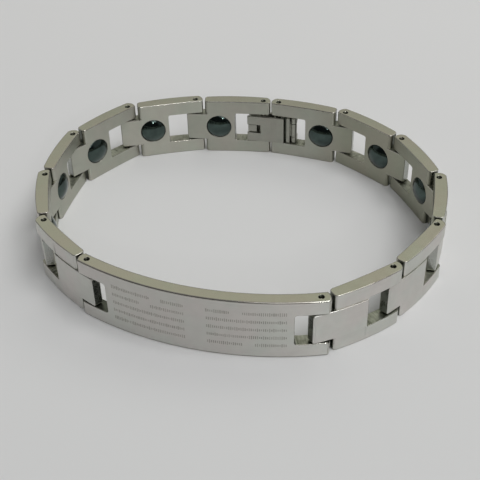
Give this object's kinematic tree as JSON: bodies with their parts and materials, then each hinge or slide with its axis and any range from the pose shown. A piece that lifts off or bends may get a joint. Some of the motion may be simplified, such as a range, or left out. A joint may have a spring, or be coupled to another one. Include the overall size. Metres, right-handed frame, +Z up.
{
  "type": "magnetic link bracelet",
  "caption": "Closed steel link bracelet lying on its edge: forked links on pins, a curved plate, round magnets on the wrist side and a fold-over clasp.",
  "frame": {"origin": "centre of the loop's bounding box, at the level that the lower edges rest on", "axes": "+Z up across the band's width, +X along the plate to its right end as seen from outside, -Y out through the plate; the clasp is at +Y"},
  "size_m": [0.0753, 0.062, 0.012],
  "materials": {
    "steel": "fine satin brush with bright bevelled edges",
    "clasp_steel": "plain satin sheet steel",
    "pin_steel": "drawn wire, plain ends",
    "magnet": "polished dark grey-green, slightly domed"
  },
  "bodies": {
    "band": {"id_plate": "steel", "link_right_1": "steel", "link_right_2": "steel", "link_right_3": "steel", "link_right_4": "steel", "link_right_5": "steel", "link_right_6": "steel", "link_left_1": "steel", "link_left_2": "steel", "link_left_3": "steel", "link_left_4": "steel", "link_left_5": "steel", "link_left_6": "steel", "magnet_right_1": "magnet", "magnet_right_2": "magnet", "magnet_right_3": "magnet", "magnet_right_4": "magnet", "magnet_right_5": "magnet", "magnet_right_6": "magnet", "magnet_left_1": "magnet", "magnet_left_2": "magnet", "magnet_left_3": "magnet", "magnet_left_4": "magnet", "magnet_left_5": "magnet", "magnet_left_6": "magnet", "pin_plate_right": "pin_steel", "pin_plate_left": "pin_steel", "pin_right_1": "pin_steel", "pin_right_2": "pin_steel", "pin_right_3": "pin_steel", "pin_right_4": "pin_steel", "pin_right_5": "pin_steel", "pin_right_6": "pin_steel", "pin_left_1": "pin_steel", "pin_left_2": "pin_steel", "pin_left_3": "pin_steel", "pin_left_4": "pin_steel", "pin_left_5": "pin_steel", "pin_left_6": "pin_steel", "clasp_base": "clasp_steel", "clasp_hinge_pin": "pin_steel"},
    "leaf": {"clasp_leaf": "clasp_steel"}
  },
  "joints": [
    {"name": "clasp_hinge", "type": "hinge", "parent": "band", "child": "leaf", "pos_m": [0.004, 0.02974, 0.006], "axis": [0, 0, 1], "range_deg": [0, 105]}
  ]
}
